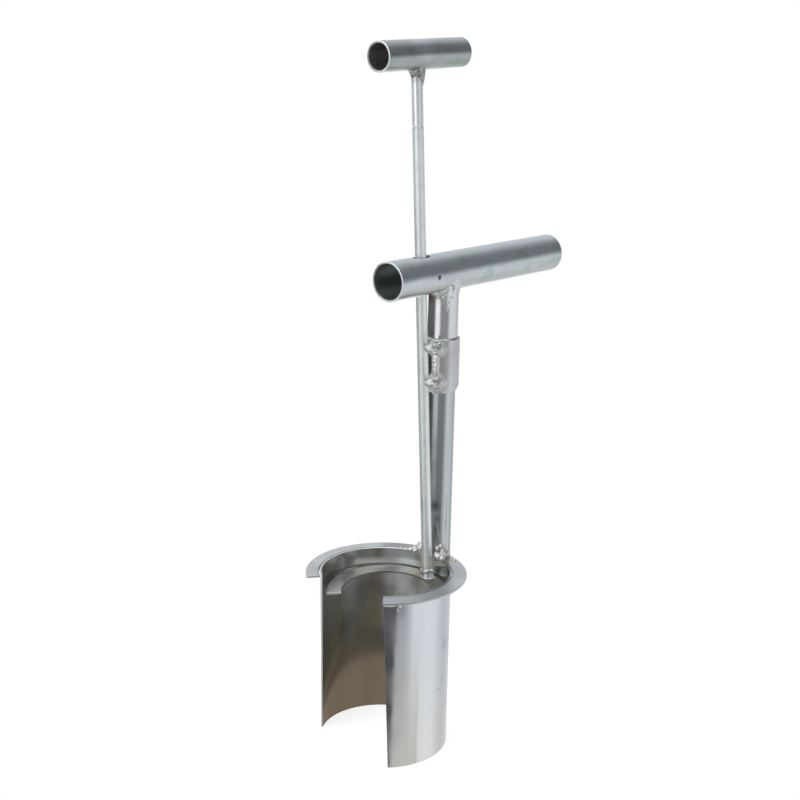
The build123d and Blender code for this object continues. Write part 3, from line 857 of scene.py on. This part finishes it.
for side, c in clamps.items():
    shape = fillet(nutWeld | nutWeldEnds[side], clampAxes(c), nutWeld["radius"], sleeveSide)
    putWeld(side + "NutWeld", shape, brightWeld, "frame", side + "_nut_weld")

# seam weld: a broad crystalline bead up the sleeve between the nuts
seam = {"azimuth": 199.5, "low": 246.6, "high": 262.2, "rows": 160, "wide": 2.8, "tall": 1.5, "lump": 0.11,
        "size": 1.4, "seed": 71, "ripples": 0}


def seamWeld(v):
    a = radians(v["azimuth"])
    outward, side = array([cos(a), sin(a), 0]), array([-sin(a), cos(a), 0])
    heights = np.outer(linspace(v["low"], v["high"], v["rows"]), (0, 0, 1))
    line = postAxes[0] + outward * sleeve["radius"] + heights
    return weldBead(v, line, tile(side, (v["rows"], 1)), tile(outward, (v["rows"], 1)))


putWeld("sleeveSeamWeld", seamWeld(seam), beadWeld, "frame", "sleeve_seam_weld")

# tacks (start angle, seed) in the corner under the flange, a thin bead that closes the flange's lip, and a
# run down the tube from the first tack
tack = {"radius": 44.5, "z": 117.7, "wide": 1.4, "tall": 1.4, "lump": 0.15, "size": 3.0, "span": 14.0,
        "rows": 90, "ripples": 5, "tacks": ((-138.5, 81), (-70, 84), (-10, 87), (50, 90), (110, 93))}
lip = {"radius": 52.0, "z": 117.9, "wide": 0.9, "tall": 0.9, "lump": 0.12, "size": 3.0, "start": -139.2,
       "span": 9.0, "rows": 60, "ripples": 3, "seed": 99}
run = {"lump": 0.15, "size": 2.0, "seed": 97,
       "lumps": [(-24.6, -36.6, 116.3, 1.9, 1.4, 1.6), (-25.6, -35.9, 113.9, 1.2, 1.0, 1.6),
                 (-26.7, -35.1, 110.8, 0.55, 0.5, 1.3)]}
tacks = [arcBead(tack | {"seed": seed}, start) for start, seed in tack["tacks"]]
tacks += [arcBead(lip, lip["start"]), weldLumps(run, run["lumps"])]
putWeld("flangeTackWelds", joined(*tacks), weldSteel, "frame", "flange_tack_welds")

# foot of the post: lumps on the flange and the tube's rim on both sides of the rod, and a little spatter
foot = {"lump": 0.22, "size": 2.4, "seed": 91, "lumps": [
    (41.6, -10.6, 121.0, 2.4, 2.2, 3.4), (43.4, -12.4, 122.6, 2.3, 2.2, 4.2),
    (45.8, -13.4, 121.6, 2.5, 2.2, 3.8), (44.6, -11.6, 125.2, 2.0, 1.8, 2.2),
    (47.8, -13.2, 121.0, 2.4, 2.0, 3.0), (42.2, -13.6, 120.6, 1.9, 1.9, 1.6),
    (41.4, 5.6, 122.2, 2.2, 2.4, 3.8), (43.4, 7.6, 123.2, 2.4, 2.2, 3.6),
    (41.0, 9.2, 120.8, 2.4, 2.6, 2.4), (39.8, 12.6, 120.4, 1.7, 2.0, 1.4),
    (38.8, 15.6, 120.3, 1.2, 1.5, 1.0), (37.4, 18.8, 120.2, 0.9, 1.1, 0.8),
    (36.4, 21.4, 120.2, 0.6, 0.7, 0.5), (46.6, 7.8, 121.0, 2.6, 2.2, 2.6),
    (46.1, -21.0, 120.2, 1.4, 1.2, 0.9), (41.2, -8.9, 122.0, 1.4, 1.4, 2.6),
    (41.6, -9.6, 126.4, 1.4, 1.3, 1.9), (43.6, -11.2, 128.4, 1.5, 1.4, 1.7),
    (46.4, -12.2, 127.4, 1.6, 1.4, 1.7), (48.6, -12.8, 123.6, 1.6, 1.5, 1.9),
    (39.6, -4.3, 235.1, 0.9, 0.9, 0.9)]}
putWeld("postFootWeld", weldLumps(foot, foot["lumps"]), weldSteel, "frame", "post_foot_weld")
print("welds made")

# studio: white to the camera. The metal sees a white sweep, brightest on the right and behind, dimmer towards
# the camera and stepped near the ground; the dark side of the room round the camera and to the left, narrower
# downwards, with a softbox standing in it; and a dimmer room above the sweep's edge. Bearings are in degrees
# from +X, heights in degrees, and a panel is (bearing, full half-width, edge half-width, level)
studio = {"sweep": 0.80, "right": (298, 0, 46, 1.10), "near": (230, 14, 46, 0.55),
          "behind": (52, 16, 30, 1.2), "box": (179, 4, 26, 1.6), "boxFoot": (-19.5, -10), "boxTop": 1.3,
          "gap": (304, 5, 11, 0.0), "gapFoot": (-8.5, -4.5), "above": 0.29, "back": (80, 48, 108, 0.90),
          "front": (215, 50, 80, 0.75), "ceiling": 0.55, "ceilingFrom": (40, 56), "edge": (-13, 11),
          "plain": "#FFFEFC", "warm": "#FFFBF3", "warmSide": (240, 35, 75), "cool": "#F4F7FC",
          "coolFrom": (-30, -24)}
dark = {"bearing": 170, "spread": -0.20, "slope": 1.2, "soft": 0.06, "low": 0.11, "high": 0.38,
        "fade": (-26, -14), "ground": (-36, -29), "left": (100, 40, 60, 0.12), "leftFoot": (-23, -18),
        "leftTop": (-9.5, -4.5)}
step = {"bearing": 286.8, "soft": 0.03, "behind": (0.0, -0.2), "low": 0.78, "heights": (-31, -24)}
world = bpy.data.worlds.new("studio")
bpy.context.scene.world = world
tree = emptyTree(world)
look = add(tree, "TexCoord").outputs["Generated"]
flatLook = vectors("NORMALIZE", vectors("MULTIPLY", look, (1, 1, 0)))
lift = add(tree, "SeparateXYZ", {0: look}).outputs["Z"]


# how nearly a direction faces a bearing, as a cosine
def facing(bearing):
    a = radians(bearing)
    return vectors("DOT_PRODUCT", flatLook, (cos(a), sin(a), 0), output="Value")


def ramp(value, low, high):
    return ranged(value, (float(low), float(high)), kind="SMOOTHSTEP")


def panel(spot):
    bearing, full, none = spot[:3]
    return ramp(facing(bearing), cos(radians(none)), cos(radians(full)))


def rising(heights):
    return ramp(lift, *sin(radians(heights)))


def mixed(amount, start, end):
    return socket(tree, "Mix", {0: amount, 2: start, 3: end})


# a panel's level laid over what is there
def lit(below, spot):
    return mixed(panel(spot), below, spot[3])


# a panel from a height upwards
def standingPanel(spot, heights):
    return maths("MULTIPLY", panel(spot), rising(heights))


s, d, k = studio, dark, step
low = lit(lit(lit(s["sweep"], s["right"]), s["near"]), s["behind"])
past = ramp(facing(k["bearing"] + 90), -k["soft"], k["soft"])
past = maths("MAXIMUM", past, ramp(facing(k["bearing"]), *k["behind"]))
past = maths("MAXIMUM", past, rising(k["heights"]))
low = mixed(past, k["low"], low)
darkSide = maths("MULTIPLY_ADD", lift, d["slope"], facing(d["bearing"]))
darkSide = ramp(darkSide, d["spread"] - d["soft"], d["spread"] + d["soft"])
darkSide = maths("MULTIPLY", darkSide, rising(d["ground"]))
darkSide = maths("MAXIMUM", darkSide, standingPanel(d["left"], d["leftFoot"]))
darkLevel = lit(mixed(rising(d["fade"]), d["low"], d["high"]), d["left"])
low = mixed(darkSide, low, darkLevel)
low = mixed(standingPanel(s["box"], s["boxFoot"]), low, s["box"][3])
high = lit(lit(s["above"], s["back"]), s["front"])
high = mixed(rising(s["ceilingFrom"]), high, s["ceiling"])
high = mixed(panel(s["box"]), high, s["box"][3] * s["boxTop"])
edge = maths("MAXIMUM", rising(s["edge"]), standingPanel(d["left"], d["leftTop"]))
room = mixed(standingPanel(s["gap"], s["gapFoot"]), mixed(edge, low, high), s["gap"][3])
hue = blend(panel(s["warmSide"]), tone(s["plain"]), tone(s["warm"]))
hue = blend(rising(s["coolFrom"]), hue, tone(s["cool"]))
seen = add(tree, "LightPath").outputs["Is Camera Ray"]
hue = blend(seen, hue, (1, 1, 1, 1))
backdrop = socket(tree, "Background", {"Color": hue, "Strength": mixed(seen, room, 1.0)})
add(tree, "OutputWorld", {"Surface": backdrop})

# floor: a small pale disc that fades into the white and keeps the soft shadow. Within the rim it glows warm
# to glossy rays only, a painted reflection that the tube's inside mirrors, and past the rim the metal sees
# the studio
floorLook = {"radius": 0.26, "below": 0.0002, "around": 96, "rings": 9, "glow": 0.72, "paint": "#B8B8B8",
             "fade": (0.12, 0.25), "within": (0.0424, 0.0430), "inside": "#A08E7D"}
f = floorLook
disc = polar(linspace(0, 1, f["rings"])[None, :] * f["radius"], turns(f["around"])[:, None], -f["below"])
mesh = bpy.data.meshes.new("floor")
quads = gridQuads(f["around"], f["rings"], True, False)[:, ::-1]
mesh.from_pydata(disc.reshape(-1, 3).tolist(), [], quads.tolist())
floor = newObject("floor", mesh)
paint = bpy.data.materials.new("pale_studio_floor")
tree = emptyTree(paint)
away = vectors("LENGTH", add(tree, "TexCoord").outputs["Object"], output="Value")
rays = add(tree, "LightPath").outputs
matt = socket(tree, "BsdfDiffuse", {"Color": tone(f["paint"])})
glow = socket(tree, "Emission", {"Strength": f["glow"]})
white = socket(tree, "Emission", {"Strength": 1.0})
insideGlow = socket(tree, "Emission", {"Color": tone(f["inside"])})
past = maths("MULTIPLY", ranged(away, f["within"]), rays["Is Glossy Ray"])
shown = socket(tree, "AddShader", {0: matt, 1: glow})
shown = socket(tree, "MixShader", {0: ranged(away, f["fade"], kind="SMOOTHSTEP"), 1: shown, 2: white})
shown = socket(tree, "MixShader", {0: rays["Is Camera Ray"], 1: matt, 2: shown})
shown = socket(tree, "MixShader", {0: rays["Is Glossy Ray"], 1: shown, 2: insideGlow})
shown = socket(tree, "MixShader", {0: past, 1: shown, 2: socket(tree, "BsdfTransparent")})
add(tree, "OutputMaterial", {"Surface": shown})
mesh.materials.append(paint)

# one broad lamp overhead
lamp = {"size": 1.2, "energy": 9.0, "place": (0.0, 0.0, 1.6)}
light = bpy.data.lights.new("overhead", "AREA")
light.shape, light.size, light.energy = "DISK", lamp["size"], lamp["energy"]
newObject("overhead", light).location = lamp["place"]

# camera: bearing, downward tilt and roll fitted to the photo; place in mm, focal length and frame in pixels
view = {"yaw": 41.29, "pitch": 14.62, "roll": 1.19, "place": (-602.78, -539.20, 447.84), "focal": 1307.88,
        "frame": 800, "sensor": 36.0, "clip": (0.01, 20)}
c = view
yaw, pitch, roll = radians([c["yaw"], c["pitch"], c["roll"]])
ahead = array([cos(pitch) * cos(yaw), cos(pitch) * sin(yaw), -sin(pitch)])
right = array([sin(yaw), -cos(yaw), 0])
up = np.cross(right, ahead)
across, upward = cos(roll) * right + sin(roll) * up, cos(roll) * up - sin(roll) * right
lens = bpy.data.cameras.new("camera")
lens.sensor_fit, lens.sensor_width = "HORIZONTAL", c["sensor"]
lens.lens = c["focal"] / c["frame"] * c["sensor"]
lens.clip_start, lens.clip_end = c["clip"]
camera = newObject("camera", lens)
stand = np.eye(4)
stand[:3, :3] = stack([across, upward, -ahead], 1)
stand[:3, 3] = array(c["place"]) * mm
camera.matrix_world = Matrix(stand.tolist())
bpy.context.scene.camera = camera
bpy.context.scene.view_settings.view_transform = "Standard"
print("studio, floor and camera set")

bpy.context.view_layer.update()
